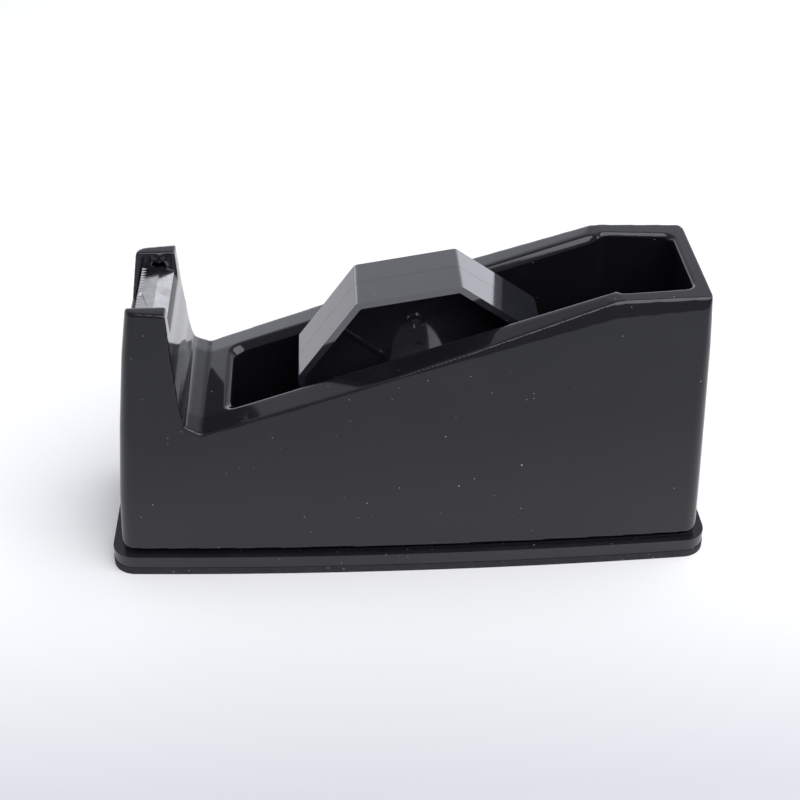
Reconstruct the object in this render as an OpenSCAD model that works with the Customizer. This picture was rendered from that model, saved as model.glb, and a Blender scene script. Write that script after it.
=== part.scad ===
// Weighted desktop tape dispenser: housing with two blade cheeks, serrated blade,
// octagonal tape hub on a lift-out spindle, ballast, base plate and anti-slip pad.
// Millimetres. +Z up, +X towards the rear, +Y away from the near side.
// Origin: centre of the pad's underside.

/* [View] */
// which sub-part to draw

/* [Housing] */
// length of the housing along its foot
body_length = 167.45; // [120:0.1:220]
// height of the housing, foot to rear flat top
body_height = 78.1; // [60:0.1:100]
// half width of the housing at mid length, at its foot
body_half_width = 28.2; // [22:0.1:40]
// how much each end is narrower than mid length, per side
end_bow = 2.4; // [0:0.1:8]
// how much the soft shoulder takes off each side where the sloping rim meets the rear flat
shoulder = 2.1; // [0.5:0.1:4]
// radius of the vertical corners at the foot
corner_radius = 4.5; // [2:0.1:8]
// shell thickness
wall = 2.5; // [1.6:0.1:4]
// slope of the long rim, rise per mm of length
rim_slope = 0.333; // [0.2:0.001:0.5]
// height where the rim line would meet the front of the foot
rim_start = 32.4; // [20:0.1:45]

// outward fall of the sloping rim and the cheek tops, in degrees
rim_fall = 4; // [0:0.5:8]

/* [Tower] */
// height of the blade cheeks above the foot
tower_height = 76; // [60:0.1:90]
// distance from the front of the foot to the back of the cheeks, at their top
tower_back = 18.6; // [14:0.1:28]
// half distance between the two cheeks
cheek_gap_half = 14.6; // [10:0.1:20]
// distance from the back of the cheeks to the bottom of the valley behind them
valley_reach = 7.1; // [5:0.1:12]
// height of the blade deck at the fold of the blade
deck_height = 71.7; // [60:0.1:85]

/* [Tape well] */
// half width of the tape well
well_half = 14.8; // [10:0.1:20]
// where the tape well starts, from the front of the foot
well_start = 33.6; // [28:0.1:45]
// where the well steps out into the wider rear pocket
pocket_start = 138.4; // [120:0.1:150]
// half width of the rear pocket at its front
pocket_half = 16.4; // [10:0.1:20]
// half width of the rear pocket at its back
pocket_back_half = 15; // [10:0.1:20]
// where the rear pocket ends
pocket_end = 159.4; // [145:0.1:164]
// corner radius of the well and the pocket
well_radius = 4; // [1:0.1:8]
// size of the flare round the mouth of the well
flare = 1.7; // [0.2:0.1:3]
// size of the bevel round the mouth of the pocket
pocket_flare = 0.7; // [0.2:0.1:3]

/* [Hub] */
// distance of the hub centre from the front of the foot
hub_x = 88.8; // [70:0.1:110]
// height of the hub centre above the foot
hub_height = 41.4; // [34:0.1:55]
// hub size across its corners, for 3 inch tape cores
hub_across = 75; // [60:0.1:80]
// depth of the hub's near half, from the seam
near_depth = 11.2; // [7:0.1:13]
// depth of the hub's far half, from the seam
far_depth = 10; // [7:0.1:13]
// turn of the hub at rest, in degrees
hub_turn = 31.7; // [0:0.1:45]
// thickness of the hub's rim
rim_wall = 1.9; // [1.2:0.1:4]
// fillet of the hub's corners
hub_fillet = 1.8; // [1:0.1:8]
// spindle radius
spindle_r = 4; // [3:0.05:6]
// running clearance around the spindle
run_gap = 0.05; // [0.01:0.01:0.1]

/* [Base] */
// how far the base stands out past the long sides of the housing
base_lip = 1; // [0.6:0.1:6]
// how far the base stands out past the front of the housing
base_front = 2.8; // [1:0.1:6]
// how far the base stands out past the rear of the housing
base_rear = 2.7; // [1:0.1:6]
// corner radius of the base
base_radius = 6.8; // [2:0.1:12]
// thickness of the base plate's rim
plate_thick = 3.9; // [2:0.1:6]
// thickness of the pad
pad_thick = 2.2; // [1:0.1:4]
// height of the groove between the plate and the housing
groove = 0.2; // [0.2:0.1:1]

/* [Blade] */
// blade sheet thickness
sheet = 0.7; // [0.4:0.1:1.2]
// number of teeth
teeth = 20; // [10:1:40]
// tooth depth
tooth_depth = 1.5; // [0.6:0.1:3]

/* [Hidden] */
foot_z = pad_thick + plate_thick + groove;
// distance of the origin from the front of the foot
half_length = 83.65;
cx = hub_x - half_length;
cz = foot_z + hub_height;
slice = 0.01;
slot_r = spindle_r + run_gap;
saddle_in = near_depth + 0.9;
// screw places: distance from the front of the foot, distance from the centre line
screw_spots = [[9, 15.5], [9, -15.5], [150, 20.6], [150, -20.6]];

// half width of the outline at distance t from mid length (t runs -1 to 1)
function half_at(t, mid, bow_front, bow_rear) =
    mid - (t < 0 ? bow_front : bow_rear) * t * t;

// height of the rim line above the foot at distance x from the front of the foot
function rim_z(x) = rim_start + rim_slope * x;

// points of an arc in the plane, from angle a0 to a1
function arc(c, r, a0, a1, n) =
    [for (i = [0 : n]) [c[0] + r * cos(a0 + (a1 - a0) * i / n), c[1] + r * sin(a0 + (a1 - a0) * i / n)]];

// outline between x0 and x1 (from the front of the foot): bowed long sides and round corners
function outline(x0, x1, mid, bow_front, bow_rear, r) =
    let (n = 36,
         a = x0 - half_length,
         b = x1 - half_length,
         far = [for (i = [0 : n]) let (x = b - r + (a - b + 2 * r) * i / n)
                [x, half_at(x / half_length, mid, bow_front, bow_rear)]],
         near = [for (i = [n : -1 : 0]) [far[i][0], -far[i][1]]],
         yf = far[n][1] - r,
         yb = far[0][1] - r)
    concat(far, arc([a + r, yf], r, 96, 180, 10), arc([a + r, -yf], r, 180, 264, 10),
           near, arc([b - r, -yb], r, -84, 0, 10), arc([b - r, yb], r, 0, 84, 10));

// one thin level of that outline at height z
module level(z, x0, x1, mid, bow_front, bow_rear, r) {
    translate([0, 0, z])
        linear_extrude(slice)
            polygon(outline(x0, x1, mid, bow_front, bow_rear, r));
}

// the housing's outer form before the skyline is cut; inset shrinks it all round
// rows: height, front lean, rear lean, loss of half width, extra bow of the front and rear ends
FORM = [[0, 0, 0, 0, 0, 0], [18, 0.95, 0.65, 0.93, 1, 0.15], [40.8, 3.1, 1.6, 2.1, 2.2, 0.3],
        [62.8, 5.7, 2.65, 3.1, 4, 0.4], [70.8, 6.95, 3.2, 3.5, 4.8, 0.5],
        [75.8, 7.75, 3.6, 3.8, 5.5, 0.5], [79.8, 8.6, 3.9, 4.2, 6.5, 0.5]];

module outer_form(inset) {
    hull()
        for (f = FORM)
            level(foot_z + f[0] - (inset > 0 && f[0] == 0 ? 1 : 0), f[1] + inset,
                  body_length - f[2] - inset, body_half_width - f[3] - inset,
                  end_bow + f[4], end_bow + f[5], corner_radius - f[0] * 0.018 - inset * 0.8);
}

// everything below the skyline, seen from the side; drop lowers it for the inner ceiling
// and lift raises the rear flat
module skyline(drop, lift = 0) {
    back = tower_back - drop;
    vx = back + valley_reach;
    vz = rim_z(vx) - drop * 1.05;
    top = body_height + lift;
    flat_x = (top - rim_start) / rim_slope;
    soft = 2.4;
    polygon(concat(
        [[-5, -1], [body_length + 5, -1], [body_length + 5, top - drop],
         [flat_x + soft, top - drop], [flat_x + soft * 0.3, top - drop - soft * 0.07],
         [flat_x - soft * 0.4, rim_z(flat_x - soft * 0.4) - drop * 1.05 - soft * 0.04],
         [flat_x - soft, rim_z(flat_x - soft) - drop * 1.05]],
        // a flat strip falls from the foot of the tower to the valley
        [[vx + 0.6, vz + 0.6 * rim_slope + 0.03], [vx, vz + 0.12], [vx - 0.6, vz + 0.36],
         [vx - 3.6, vz + 1.86], [vx - 4.2, vz + 2.3], [vx - 4.7, vz + 3.3], [vx - 5.1, vz + 5.4],
         [back + 1.5, vz + 9], [back + 1.2, vz + 14.5], [back + 0.6, vz + 21.5],
         [back, tower_height - drop]],
        [[-5, tower_height - drop]]));
}

// a side-view shape, given from the front of the foot, drawn across the width
module across(y0, y1) {
    translate([-half_length, y1, foot_z])
        rotate([90, 0, 0])
            linear_extrude(y1 - y0)
                children();
}

// skyline leaning outwards by rim_fall, side is -1 for near and 1 for far
module crowned(side) {
    translate([0, side * (well_half + flare), foot_z + rim_start])
        rotate([-side * rim_fall, 0, 0])
            translate([0, 0, -foot_z - rim_start])
                across(-60, 60) skyline(0, 3);
}

// upright block with round corners
module round_block(x0, x1, half, z0, z1, r) {
    translate([-half_length, 0, z0])
        linear_extrude(z1 - z0)
            union() {
                translate([x0 + r, -half])
                    square([x1 - x0 - 2 * r, 2 * half]);
                translate([x0, -half + r])
                    square([x1 - x0, 2 * half - 2 * r]);
                for (x = [x0 + r, x1 - r])
                    for (y = [-half + r, half - r])
                        translate([x, y])
                            circle(r = r, $fn = 32);
            }
}

// cross-section of the housing at x with its soft shoulders, k scales the near shoulder
// and m the far one
module section(x, top, half, k) {
    m = 0.55 * k;
    cut = [[0, -7.2], [0.1, -5.3], [0.26, -3.9], [0.56, -2.2], [1, 0]];
    translate([x - half_length, 0, foot_z + top])
        rotate([90, 0, 90])
            linear_extrude(slice)
                polygon(concat([for (c = cut) [half - c[0] * shoulder * m, c[1] * m]],
                               [for (i = [4 : -1 : 0]) [cut[i][0] * shoulder * k - half, cut[i][1] * k]],
                               [[-half - 2.5, -40], [half + 2.5, -40]]));
}

// what the soft shoulders take off the long sides, along the sloping rim and the rear flat
module shoulder_cut() {
    start = 66;
    bend = (body_height - rim_start) / rim_slope;
    difference() {
        translate([start - half_length, -60, foot_z + 42])
            cube([body_length - start + 20, 120, 60]);
        hull() {
            section(start - 0.1, rim_z(start), 25.7, 0.05);
            section(100, rim_z(100), 25.1, 0.48);
            section(bend, body_height + 0.01, 23.4, 1);
        }
        hull() {
            section(bend, body_height + 0.01, 23.4, 1);
            section(body_length + 21, body_height + 0.01, 20, 0.4);
        }
    }
}

// outline of a mouth, length along +X, half width a at its front and b at its back
function mouth_outline(length, a, b, r) =
    concat(arc([r, a - r], r, 90, 180, 8), arc([r, r - a], r, 180, 270, 8),
           arc([length - r, r - b], r, -90, 0, 8), arc([length - r, b - r], r, 0, 90, 8));

// flared mouth: the outline grown by size at the rim, back to its own size just below
module mouth(length, x, a, b, tilt, z, size, r) {
    translate([x - half_length, 0, foot_z + z])
        rotate([0, -tilt, 0])
            hull()
                for (k = [[size + 0.3, 0.3], [0, -size]])
                    translate([-k[0], 0, k[1]])
                        linear_extrude(slice)
                            polygon(mouth_outline(length + 2 * k[0], a + k[0], b + k[0], r));
}

// the two raised saddles that carry the ends of the spindle
module saddles() {
    for (s = [-1, 1])
        translate([cx, s * (saddle_in + well_half + 0.5) / 2, foot_z])
            difference() {
                translate([-8, -(well_half + 0.5 - saddle_in) / 2, 0])
                    cube([16, well_half + 0.5 - saddle_in, hub_height + 5]);
                translate([0, 5, hub_height])
                    rotate([90, 0, 0])
                        cylinder(h = 10, r = slot_r, $fn = 64);
                translate([-slot_r, -5, hub_height])
                    cube([2 * slot_r, 10, 20]);
            }
}

module housing() {
    color([0.06, 0.06, 0.065]) {
        difference() {
            intersection() {
                outer_form(0);
                across(-40, 40) skyline(0);
                crowned(-1);
                crowned(1);
            }
            difference() {
                intersection() {
                    outer_form(wall);
                    across(-40, 40) skyline(3);
                }
                round_block(well_start - wall, body_length + 9, well_half + 2, 0, 120, well_radius + wall);
                round_block(pocket_start - 3, body_length + 9, pocket_half + 2, 0, 120, well_radius);
                for (p = screw_spots)
                    translate([p[0] - half_length, p[1], 0])
                        cylinder(h = 120, r = 3.2, $fn = 32);
            }
            round_block(well_start, pocket_start + 6, well_half, foot_z - 1, 120, well_radius);
            translate([pocket_start - half_length, 0, foot_z - 1])
                linear_extrude(120)
                    polygon(mouth_outline(pocket_end - pocket_start, pocket_half, pocket_back_half, 3));
            shoulder_cut();
            mouth((pocket_start - well_start) / cos(atan(rim_slope)), well_start, well_half, well_half,
                  atan(rim_slope), rim_z(well_start), flare, 3);
            mouth(pocket_end - pocket_start, pocket_start, pocket_half, pocket_back_half, 0,
                  body_height, pocket_flare, 3);
            // gap between the cheeks, over the blade deck and in front of it
            across(-cheek_gap_half, cheek_gap_half)
                polygon([[-5, 62], [9, 62], [10.4, 63.4], [10.4, deck_height - 0.6],
                         [14.3, deck_height], [17.7, deck_height - 2.1], [19.1, deck_height - 4.4],
                         [25, deck_height - 4.4], [25, 90], [-5, 90]]);
            for (p = screw_spots)
                translate([p[0] - half_length, p[1], foot_z - 1])
                    cylinder(h = 15, r = 1.5, $fn = 32);
            // shell edge seats on the plate's raised step
            translate([-200, -200, -1])
                cube([400, 400, foot_z + 1]);
        }
        saddles();
        // round bosses on the inner faces of the cheeks, just over the blade
        for (s = [-1, 1])
            translate([14 - half_length, s * (cheek_gap_half + 0.3), foot_z + deck_height + 2.2])
                rotate([90, 0, 0])
                    cylinder(h = 1.6, r = 1.2, center = true, $fn = 32);
    }
}

module blade() {
    edge = 9.3;
    pitch = 2 * (cheek_gap_half - 0.1) / teeth;
    color([0.78, 0.78, 0.8])
        difference() {
            across(-cheek_gap_half + 0.1, cheek_gap_half - 0.1)
                polygon([[edge, deck_height - 0.72], [14.3, deck_height], [17.7, deck_height - 2.1],
                         [18.1, deck_height - 1.5], [14.4, deck_height + sheet + 0.05],
                         [edge, deck_height - 0.72 + sheet]]);
            for (i = [0 : teeth])
                translate([edge - half_length, -cheek_gap_half + 0.1 + i * pitch, foot_z + 60])
                    linear_extrude(20)
                        polygon([[-1, -pitch / 2 - pitch / 3], [tooth_depth, 0], [-1, pitch / 2 + pitch / 3]]);
        }
}

// octagon with filleted corners
module octagon(across_corners, fillet) {
    reach = across_corners / 2 - fillet / cos(22.5);
    polygon([for (a = [0 : 45 : 315])
        for (q = arc([reach * cos(a), reach * sin(a)], fillet, a - 22.5, a + 22.5, 5)) q]);
}

// one half of the hub, built along +Z from the seam and open at its outer face
// side is 1 for the near half, with pegs, and -1 for the far half, with sockets
module hub_half(depth, side) {
    gap = 0.05;
    web = 1.2;
    peg_r = 1.5;
    difference() {
        union() {
            translate([0, 0, gap])
                linear_extrude(depth - gap)
                    difference() {
                        octagon(hub_across, hub_fillet);
                        octagon(hub_across - 2 * rim_wall / cos(22.5), 0.9);
                    }
            translate([0, 0, gap])
                linear_extrude(web - gap)
                    octagon(hub_across - 1, hub_fillet);
            difference() {
                translate([0, 0, gap])
                    cylinder(h = depth - 0.3 - gap, r = 15, $fn = 64);
                translate([0, 0, web])
                    cylinder(h = depth, r = 13.4, $fn = 64);
            }
            translate([0, 0, gap])
                cylinder(h = depth - 0.3 - gap, r = 6.5, $fn = 48);
            // low stiffening ribs on the web, and a low ring round each peg or socket
            for (a = [0 : 90 : 270]) {
                rotate([0, 0, a + side * 21])
                    translate([14.5, -0.4, gap])
                        cube([18.9, 0.8, web + 0.6 - gap]);
                rotate([0, 0, a + side * 67.5])
                    translate([19.8, 0, gap])
                        cylinder(h = web + 0.7 - gap, r = 2.6, $fn = 24);
            }
        }
        translate([0, 0, -1])
            cylinder(h = depth + 2, r = slot_r, $fn = 48);
        for (a = [0 : 90 : 270])
            rotate([0, 0, a + side * 67.5])
                translate([19.8, 0, side > 0 ? web - 0.2 : -1])
                    cylinder(h = 6, r = peg_r + 0.05, $fn = 24);
    }
    if (side > 0)
        for (a = [0 : 90 : 270])
            rotate([0, 0, a + 67.5])
                translate([19.8, 0, -web])
                    cylinder(h = web + 0.8, r = peg_r, $fn = 24);
}

module hub_near_half() {
    color([0.2, 0.2, 0.21])
        translate([cx, 0, cz])
            rotate([90, 0, 0])
                rotate([0, 0, hub_turn])
                    hub_half(near_depth, 1);
}

module hub_far_half() {
    color([0.2, 0.2, 0.21])
        translate([cx, 0, cz])
            rotate([-90, 0, 0])
                rotate([0, 0, -hub_turn])
                    hub_half(far_depth, -1);
}

module spindle() {
    half = well_half - 0.4;
    color([0.3, 0.3, 0.31])
        translate([cx, 0, cz])
            rotate([90, 0, 0]) {
                cylinder(h = 2 * half - 1, r = spindle_r, center = true, $fn = 64);
                for (s = [-1, 1])
                    translate([0, 0, s * (half - 0.25)])
                        cylinder(h = 0.5, r1 = spindle_r - (s > 0 ? 0 : 0.5),
                                 r2 = spindle_r - (s > 0 ? 0.5 : 0), center = true, $fn = 64);
            }
}

// flat slab with the base's outline, grown by grow
module base_slab(z, h, grow) {
    translate([0, 0, z])
        linear_extrude(h)
            polygon(outline(-base_front - grow, body_length + base_rear + grow,
                            body_half_width + base_lip + grow, end_bow, end_bow, base_radius + grow));
}

module base_plate() {
    color([0.1, 0.1, 0.105])
        difference() {
            union() {
                base_slab(pad_thick, plate_thick, 0);
                base_slab(pad_thick + plate_thick, groove, -base_lip - 1.8);
                // locating rib just inside the shell's front wall
                translate([wall + 1.2 - half_length, -9, foot_z])
                    cube([1.5, 18, 2]);
            }
            for (p = screw_spots)
                translate([p[0] - half_length, p[1], 0]) {
                    cylinder(h = 20, r = 1.7, $fn = 32);
                    cylinder(h = pad_thick + 2, r = 3.1, $fn = 32);
                }
        }
}

module base_screws() {
    color([0.6, 0.6, 0.62])
        for (p = screw_spots)
            translate([p[0] - half_length, p[1], 0])
                difference() {
                    union() {
                        translate([0, 0, pad_thick + 0.2])
                            cylinder(h = 1.8, r = 2.8, $fn = 32);
                        translate([0, 0, pad_thick + 1])
                            cylinder(h = foot_z - pad_thick + 11, r = 1.5, $fn = 32);
                    }
                    for (a = [0, 90])
                        rotate([0, 0, a])
                            translate([-1.8, -0.35, pad_thick - 0.5])
                                cube([3.6, 0.7, 1.6]);
                }
}

module anti_slip_pad() {
    color([0.05, 0.05, 0.05])
        base_slab(0, pad_thick, 0.2);
}

// cast weight in the nose, under the valley
module ballast_front() {
    color([0.35, 0.34, 0.33])
        translate([13.2 - half_length, -18.6, foot_z + 0.1])
            cube([17, 37.2, 32]);
}

// cast slab in a side cavity, side is -1 for near and 1 for far
module side_ballast(side) {
    thick = 4;
    inner = well_half + 2.3;
    color([0.35, 0.34, 0.33])
        translate([40 - half_length, side > 0 ? inner : -inner - thick, foot_z + 0.1])
            cube([90, thick, 38]);
}

module ballast_near() {
    side_ballast(-1);
}

module ballast_far() {
    side_ballast(1);
}

housing();
blade();
hub_near_half();
hub_far_half();
spindle();
base_plate();
base_screws();
ballast_front();
ballast_near();
ballast_far();
anti_slip_pad();
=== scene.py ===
import math

import bmesh
import bpy
from mathutils import Matrix, Vector


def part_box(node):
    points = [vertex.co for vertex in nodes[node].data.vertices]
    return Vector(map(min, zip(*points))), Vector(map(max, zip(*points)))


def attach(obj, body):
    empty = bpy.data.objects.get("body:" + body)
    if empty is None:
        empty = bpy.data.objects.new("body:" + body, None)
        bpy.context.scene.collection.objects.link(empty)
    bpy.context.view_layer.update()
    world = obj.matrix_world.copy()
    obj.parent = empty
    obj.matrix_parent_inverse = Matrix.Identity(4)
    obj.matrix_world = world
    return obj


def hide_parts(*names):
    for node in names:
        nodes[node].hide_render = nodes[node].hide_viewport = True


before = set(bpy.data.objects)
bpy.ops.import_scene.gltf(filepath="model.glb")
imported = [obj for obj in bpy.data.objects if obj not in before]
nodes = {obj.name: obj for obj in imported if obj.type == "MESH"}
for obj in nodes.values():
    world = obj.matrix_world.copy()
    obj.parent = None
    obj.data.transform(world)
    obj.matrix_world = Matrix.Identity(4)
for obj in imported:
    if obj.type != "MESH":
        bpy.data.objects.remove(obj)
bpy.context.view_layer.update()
scene = bpy.context.scene
MM = 0.001

SKIN_VOXEL, SKIN_ROUNDS = ((0.4, 7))
FOOT_BAND = 0.05        # mm above the foot in which a vertex belongs to the foot's edge
FOOT_DROP = 4           # mm the foot is drawn down before smoothing, so its cut stays crisp
CUT_BAND, CUT_NORMAL = 0.01, -0.98  # mm above the foot and normal's Z of a face in the cut
SHARP_ANGLE = math.radians(30)      # edges sharper than this are bevelled and kept crisp

# Node, material, width of its bevel in mm and segments of it
FINISH = (
    ("hub_near_half", "hub", 0.22, 2),
    ("hub_far_half", "hub", 0.22, 2),
    ("spindle", "spindle", None, None),
    ("blade", "blade", 0.08, 2),
    ("base_plate", "base", 0.35, 3),
    ("anti_slip_pad", "pad", 0.3, 2),
    ("ballast_front", "iron", 0.6, 2),
    ("ballast_near", "iron", 0.6, 2),
    ("ballast_far", "iron", 0.6, 2),
    ("base_screws", "screw", 0.12, 2),
)

# Floor: half its side in m, and its tones from the front of the scene to the back, which paint
# shade on it: darker towards the front, rising steeply close in front of the object
FLOOR_REACH = 4.0
FLOOR_SLOPE, FLOOR_SHIFT = 1.6, 0.35    # position on the ramp = Y * slope + shift
FLOOR_PAINTED_SHADE_TONES = (
    (0.0, (0.5, 0.515, 0.545)),
    (0.174, (0.565, 0.575, 0.61)),
    (0.225, (0.67, 0.68, 0.705)),
    (0.26, (0.75, 0.755, 0.775)),
    (0.33, (0.87, 0.87, 0.885)),
    (1.0, (0.93, 0.93, 0.94)),
)

# World: brightness of the sweep behind the object by height, its tint, and the dim front
SWEEP = ((0.0, 0.92), (0.22, 0.78), (0.42, 0.38), (0.55, 0.28), (0.7, 0.16))
SWEEP_TINT = (0.96, 0.98, 1.06)
FRONT_TONE = (0.12, 0.122, 0.132)
FRONT_TO_BACK = ((0.42, 0.0), (0.62, 1.0))
WORLD_STRENGTH = 2.0

# Key light: place and aim in m, side in m and power in W
KEY_PLACE, KEY_AIM = (0.55, -0.5, 1.4), (0, 0, 0.03)
KEY_SIZE, KEY_POWER = 2.2, 43

# Camera: place in mm, angles in degrees, lens and sensor in mm
CAMERA_PLACE = (-20.7, -345.9, 280.5)
CAMERA_YAW, CAMERA_PITCH, CAMERA_ROLL = -3.07, 34.78, -0.21
CAMERA_LENS, CAMERA_SENSOR = 65.13, 36


# ---------------------------------------------------------------- node helpers
class Nodes:
    """Small builder for a node tree, with one texture space for all of it."""

    def __init__(self, tree, space):
        self.tree = tree
        self.coord = tree.nodes.new("ShaderNodeTexCoord").outputs[space]

    def add(self, kind, **sockets):
        """Adds a node and sets or links its inputs by name."""
        n = self.tree.nodes.new("ShaderNode" + kind)
        for name, value in sockets.items():
            self.put(n.inputs[name], value)
        return n

    def put(self, socket, value):
        if isinstance(value, bpy.types.NodeSocket):
            self.tree.links.new(value, socket)
        else:
            socket.default_value = value

    def stretch(self, scale):
        return self.add("Mapping", Vector=self.coord, Scale=scale).outputs[0]

    def axis(self, letter):
        return self.add("SeparateXYZ", Vector=self.coord).outputs[letter]

    def noise(self, scale, detail, rough=0.55, vector=None, distortion=0.0):
        n = self.add("TexNoise", Vector=vector or self.coord, Scale=scale, Detail=detail,
                     Roughness=rough, Distortion=distortion)
        return n.outputs["Fac"]

    def cells(self, scale):
        n = self.add("TexVoronoi", Vector=self.coord, Scale=scale)
        return n.outputs["Distance"], n.outputs["Color"]

    def ramp(self, fac, *stops):
        """Colour ramp; a stop is a position with a grey or an RGB colour."""
        n = self.add("ValToRGB", Fac=fac)
        elements = n.color_ramp.elements
        while len(elements) < len(stops):
            elements.new(0.5)
        for element, (position, tone) in zip(elements, stops):
            element.position = position
            rgb = (tone, tone, tone) if isinstance(tone, (int, float)) else tone
            element.color = (*rgb, 1)
        return n.outputs[0]

    def math(self, op, *values):
        n = self.add("Math")
        n.operation = op
        for socket, value in zip(n.inputs, values):
            self.put(socket, value)
        return n.outputs[0]

    def mix(self, fac, a, b):
        """Mixes two colours."""
        n = self.add("Mix")
        n.data_type = "RGBA"
        self.put(n.inputs[0], fac)
        for i, v in ((6, a), (7, b)):
            self.put(n.inputs[i], v if isinstance(v, bpy.types.NodeSocket) else (*v, 1))
        return n.outputs[2]

    def bump(self, height, strength, depth, normal=None):
        """Bump of a depth in mm, on top of another bump if one is given."""
        n = self.add("Bump", Strength=strength, Distance=depth * MM, Height=height)
        if normal:
            self.put(n.inputs["Normal"], normal)
        return n.outputs[0]

    def specks(self, scale, size, keep):
        """Sparse round specks: 1 on a speck, 0 elsewhere."""
        distance, colour = self.cells(scale)
        draw = self.add("SeparateColor", Color=colour)
        radius = self.math("MULTIPLY", draw.outputs[1], size)
        dot = self.math("LESS_THAN", distance, radius)
        chosen = self.math("LESS_THAN", draw.outputs[0], keep)
        return self.math("MULTIPLY", dot, chosen)


class Material(Nodes):
    """A new material with one Principled shader."""

    def __init__(self, name):
        self.mat = bpy.data.materials.new(name)
        self.mat.use_nodes = True
        self.mat.node_tree.nodes.clear()
        super().__init__(self.mat.node_tree, "Object")
        self.bsdf = self.add("BsdfPrincipled")
        self.add("OutputMaterial", Surface=self.bsdf.outputs[0])

    def shade(self, sockets):
        """Sets or links the shader's sockets by name and gives the material."""
        for name, value in sockets.items():
            self.put(self.bsdf.inputs[name], value)
        return self.mat


# ---------------------------------------------------------------- materials
def black_plastic(name, base, dusty, rough, dust, ior=1.5):
    """Moulded black plastic with smudges, faint scratches, moulding ripple and dust."""
    m = Material(name)
    smudge = m.ramp(m.noise(45, 5, 0.6, distortion=0.4), (0.38, 0.0), (0.72, 1.0))
    scratch = m.ramp(m.noise(160, 2, 0.5, m.stretch((0.5, 1, 9))), (0.66, 0.0), (0.72, 1.0))
    dirt = m.math("MAXIMUM", m.specks(230, 0.075, dust), m.specks(520, 0.1, dust))
    colour = m.mix(m.math("MULTIPLY", smudge, 0.35), base, dusty)
    gloss = m.math("MULTIPLY_ADD", smudge, rough * 0.45, rough * 0.85)
    gloss = m.math("ADD", gloss, m.math("MULTIPLY", scratch, 0.03))
    ripple = m.bump(m.noise(120, 2, 0.5), strength=0.04, depth=0.3)
    return m.shade({
        "Base Color": m.mix(m.math("MULTIPLY", dirt, 0.8), colour, (0.3, 0.3, 0.31)),
        "Roughness": m.math("ADD", gloss, m.math("MULTIPLY", dirt, 0.4)),
        "IOR": ior,
        "Normal": m.bump(m.noise(900, 3, 0.6), strength=0.03, depth=0.05, normal=ripple),
    })


def blade_steel(name):
    """Bright stamped stainless sheet: rolling lines across the sheet, finger smudges, specks."""
    m = Material(name)
    lines = m.noise(700, 3, 0.6, m.stretch((6, 0.25, 6)))
    smudge = m.ramp(m.noise(170, 5, 0.65, distortion=0.8), (0.35, 0.0), (0.7, 1.0))
    spots = m.specks(500, 0.14, 0.1)
    colour = m.mix(m.math("MULTIPLY", smudge, 0.8), (0.6, 0.595, 0.595), (0.36, 0.355, 0.35))
    gloss = m.math("MULTIPLY_ADD", smudge, 0.12, 0.08)
    return m.shade({
        "Base Color": m.mix(m.math("MULTIPLY", spots, 0.6), colour, (0.12, 0.11, 0.1)),
        "Roughness": m.math("ADD", gloss, m.math("MULTIPLY", lines, 0.08)),
        "Metallic": 1.0,
        "Anisotropic": 0.4,
        "Normal": m.bump(lines, strength=0.12, depth=0.08),
    })


def foam(name):
    """Fine closed-cell black foam rubber with pores and picked-up dust."""
    m = Material(name)
    pores = m.ramp(m.cells(1100)[0], (0.1, 0.0), (0.55, 1.0))
    lump = m.noise(350, 4, 0.65)
    dirt = m.specks(650, 0.22, 0.35)
    colour = m.mix(lump, (0.006, 0.006, 0.0065), (0.045, 0.045, 0.048))
    pitted = m.bump(pores, strength=0.5, depth=0.25)
    return m.shade({
        "Base Color": m.mix(m.math("MULTIPLY", dirt, 0.5), colour, (0.22, 0.22, 0.22)),
        "Roughness": m.ramp(lump, (0.3, 0.8), (0.7, 0.98)),
        "IOR": 1.4,
        "Normal": m.bump(lump, strength=0.6, depth=0.6, normal=pitted),
    })


def metal(name, base, dark, rough, grain, metallic=1.0, pits=0.3):
    """Dull metal, mottled and pitted at the scale of its grain."""
    m = Material(name)
    mottle = m.noise(grain, 5, 0.6)
    spots = m.specks(grain * 0.8, 0.25, 0.2)
    rippled = m.bump(mottle, strength=pits, depth=0.2)
    return m.shade({
        "Base Color": m.mix(m.ramp(mottle, (0.35, 0.0), (0.7, 1.0)), base, dark),
        "Roughness": m.ramp(mottle, (0.3, rough * 0.8), (0.7, min(1, rough * 1.3))),
        "Metallic": metallic,
        "Normal": m.bump(spots, strength=pits, depth=0.1, normal=rippled),
    })


MATS = {
    "housing": black_plastic("housing_gloss", (0.007, 0.007, 0.0095), (0.0115, 0.0115, 0.0145),
                             rough=0.09, dust=0.14),
    "hub": black_plastic("hub_gloss", (0.016, 0.016, 0.022), (0.026, 0.026, 0.033),
                         rough=0.07, dust=0.1, ior=2.2),
    "spindle": black_plastic("spindle_plastic", (0.03, 0.03, 0.033), (0.045, 0.045, 0.048),
                             rough=0.3, dust=0.03),
    "base": black_plastic("base_satin", (0.012, 0.012, 0.015), (0.03, 0.03, 0.033),
                          rough=0.22, dust=0.45),
    "blade": blade_steel("blade_stainless"),
    "pad": foam("pad_foam"),
    "screw": metal("screw_zinc", (0.6, 0.6, 0.62), (0.4, 0.4, 0.42), rough=0.35, grain=900),
    "iron": metal("ballast_cast", (0.09, 0.085, 0.08), (0.05, 0.045, 0.042),
                  rough=0.75, grain=700, metallic=0.6, pits=0.8),
}


# ---------------------------------------------------------------- CAD nodes
def link_new(name, data):
    o = bpy.data.objects.new(name, data)
    scene.collection.objects.link(o)
    return o


def soften(o, voxel, rounds):
    """Rounds a moulded part's edges: a fine voxel skin, smoothed."""
    skin = o.modifiers.new("skin", "REMESH")
    skin.mode = "VOXEL"
    skin.voxel_size = voxel * MM
    skin.use_smooth_shade = True
    smooth = o.modifiers.new("round", "SMOOTH")
    smooth.factor = 0.5
    smooth.iterations = rounds


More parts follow.
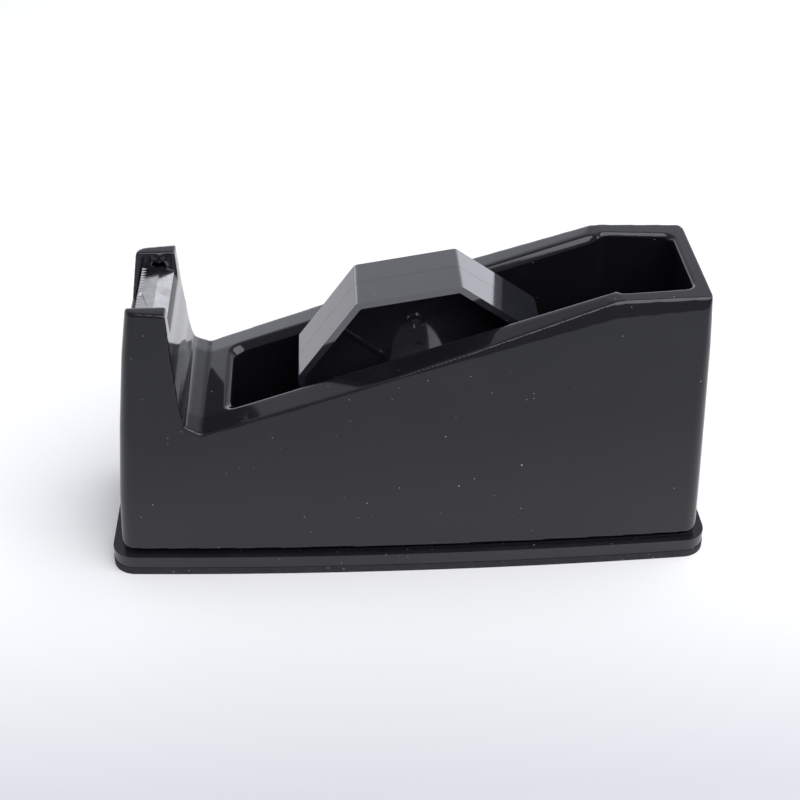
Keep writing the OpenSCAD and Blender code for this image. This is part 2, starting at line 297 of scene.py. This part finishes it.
def bevel(o, width, segments):
    b = o.modifiers.new("edges", "BEVEL")
    b.width = width * MM
    b.segments = segments
    b.limit_method = "ANGLE"
    b.angle_limit = SHARP_ANGLE
    for p in o.data.polygons:
        p.use_smooth = True
    o.data.set_sharp_from_angle(angle=SHARP_ANGLE)


def moulded_skin(node, name, mat, voxel, rounds):
    """A fine smoothed skin of a CAD node, with its foot cut flat and crisp."""
    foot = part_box(node)[0][2]
    me = nodes[node].data.copy()
    for v in me.vertices:
        if v.co.z < foot + FOOT_BAND * MM:
            v.co.z -= FOOT_DROP * MM
    work = link_new("work", me)
    soften(work, voxel, rounds)
    bpy.context.view_layer.update()
    done = work.evaluated_get(bpy.context.evaluated_depsgraph_get())
    bm = bmesh.new()
    bm.from_mesh(done.to_mesh())
    bpy.data.objects.remove(work)
    cut = bmesh.ops.bisect_plane(bm, geom=bm.verts[:] + bm.edges[:] + bm.faces[:],
                                 plane_co=(0, 0, foot), plane_no=(0, 0, 1), clear_inner=True)
    rim = [e for e in cut["geom_cut"] if isinstance(e, bmesh.types.BMEdge)]
    bmesh.ops.triangle_fill(bm, edges=rim, use_beauty=True, normal=(0, 0, -1))
    for f in bm.faces:
        at_foot = f.calc_center_median().z <= foot + CUT_BAND * MM
        in_the_cut = f.normal.z <= CUT_NORMAL and at_foot
        f.smooth = not in_the_cut
    for e in rim:
        e.smooth = False
    skin = bpy.data.meshes.new(name)
    bm.to_mesh(skin)
    bm.free()
    skin.materials.append(MATS[mat])
    o = link_new(name, skin)
    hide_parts(node)
    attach(o, "dispenser")


moulded_skin("housing", "housing_skin", "housing", SKIN_VOXEL, SKIN_ROUNDS)
for node, mat, width, segments in FINISH:
    materials = nodes[node].data.materials
    materials.clear()
    materials.append(MATS[mat])
    if width:
        bevel(nodes[node], width, segments)


# ---------------------------------------------------------------- stage, light, camera
def plane(name, reach, mat):
    bm = bmesh.new()
    bmesh.ops.create_grid(bm, x_segments=1, y_segments=1, size=reach)
    me = bpy.data.meshes.new(name)
    bm.to_mesh(me)
    bm.free()
    me.materials.append(mat)
    o = link_new(name, me)


def floor_painted_shade(name):
    """Pale floor with painted shade: darker towards the front of the scene, rising steeply close
    in front of the object.
    """
    m = Material(name)
    # painted shade: the floor's colour darkens towards the front in place of the light falling
    # off there
    tone = m.ramp(m.math("MULTIPLY_ADD", m.axis("Y"), FLOOR_SLOPE, FLOOR_SHIFT), *FLOOR_PAINTED_SHADE_TONES)
    cloud = m.math("MULTIPLY", m.noise(6, 2), 0.04)
    return m.shade({"Base Color": m.mix(cloud, tone, (0.8, 0.8, 0.8)), "Roughness": 0.75})


def area_light(name, place, aim, size, power):
    data = bpy.data.lights.new(name, "AREA")
    data.energy = power
    data.size = size
    o = link_new(name, data)
    o.location = place
    o.rotation_euler = (Vector(aim) - Vector(place)).to_track_quat("-Z", "Y").to_euler()


def studio(name):
    """A bright sweep behind the object, fading upwards, and a dim room in front of it."""
    world = bpy.data.worlds.new(name)
    world.use_nodes = True
    room = Nodes(world.node_tree, "Generated")
    stops = [(z, tuple(v * t for t in SWEEP_TINT)) for z, v in SWEEP]
    sweep = room.ramp(room.axis("Z"), *stops)
    side = room.ramp(room.math("MULTIPLY_ADD", room.axis("Y"), 0.5, 0.5), *FRONT_TO_BACK)
    sky = world.node_tree.nodes["Background"]
    room.put(sky.inputs["Color"], room.mix(side, FRONT_TONE, sweep))
    sky.inputs["Strength"].default_value = WORLD_STRENGTH
    return world


def facing(yaw, pitch, roll):
    """Rotation of a camera that looks along +Y, turned, tipped down and rolled."""
    forward = Vector((-math.sin(yaw) * math.cos(pitch), math.cos(yaw) * math.cos(pitch),
                      -math.sin(pitch)))
    level = Vector((math.cos(yaw), math.sin(yaw), 0))
    below = forward.cross(level)
    right = level * math.cos(roll) + below * math.sin(roll)
    down = below * math.cos(roll) - level * math.sin(roll)
    return Matrix((right, -down, -forward)).transposed()


plane("floor", FLOOR_REACH, floor_painted_shade("floor_painted_shade"))
area_light("key_soft", KEY_PLACE, KEY_AIM, KEY_SIZE, KEY_POWER)
scene.world = studio("studio")

cam_data = bpy.data.cameras.new("camera")
cam_data.sensor_width = CAMERA_SENSOR
cam_data.lens = CAMERA_LENS
camera = link_new("camera", cam_data)
turn = facing(math.radians(CAMERA_YAW), math.radians(CAMERA_PITCH), math.radians(CAMERA_ROLL))
camera.matrix_world = Matrix.Translation(Vector(CAMERA_PLACE) * MM) @ turn.to_4x4()
scene.camera = camera
scene.view_settings.view_transform = "Standard"
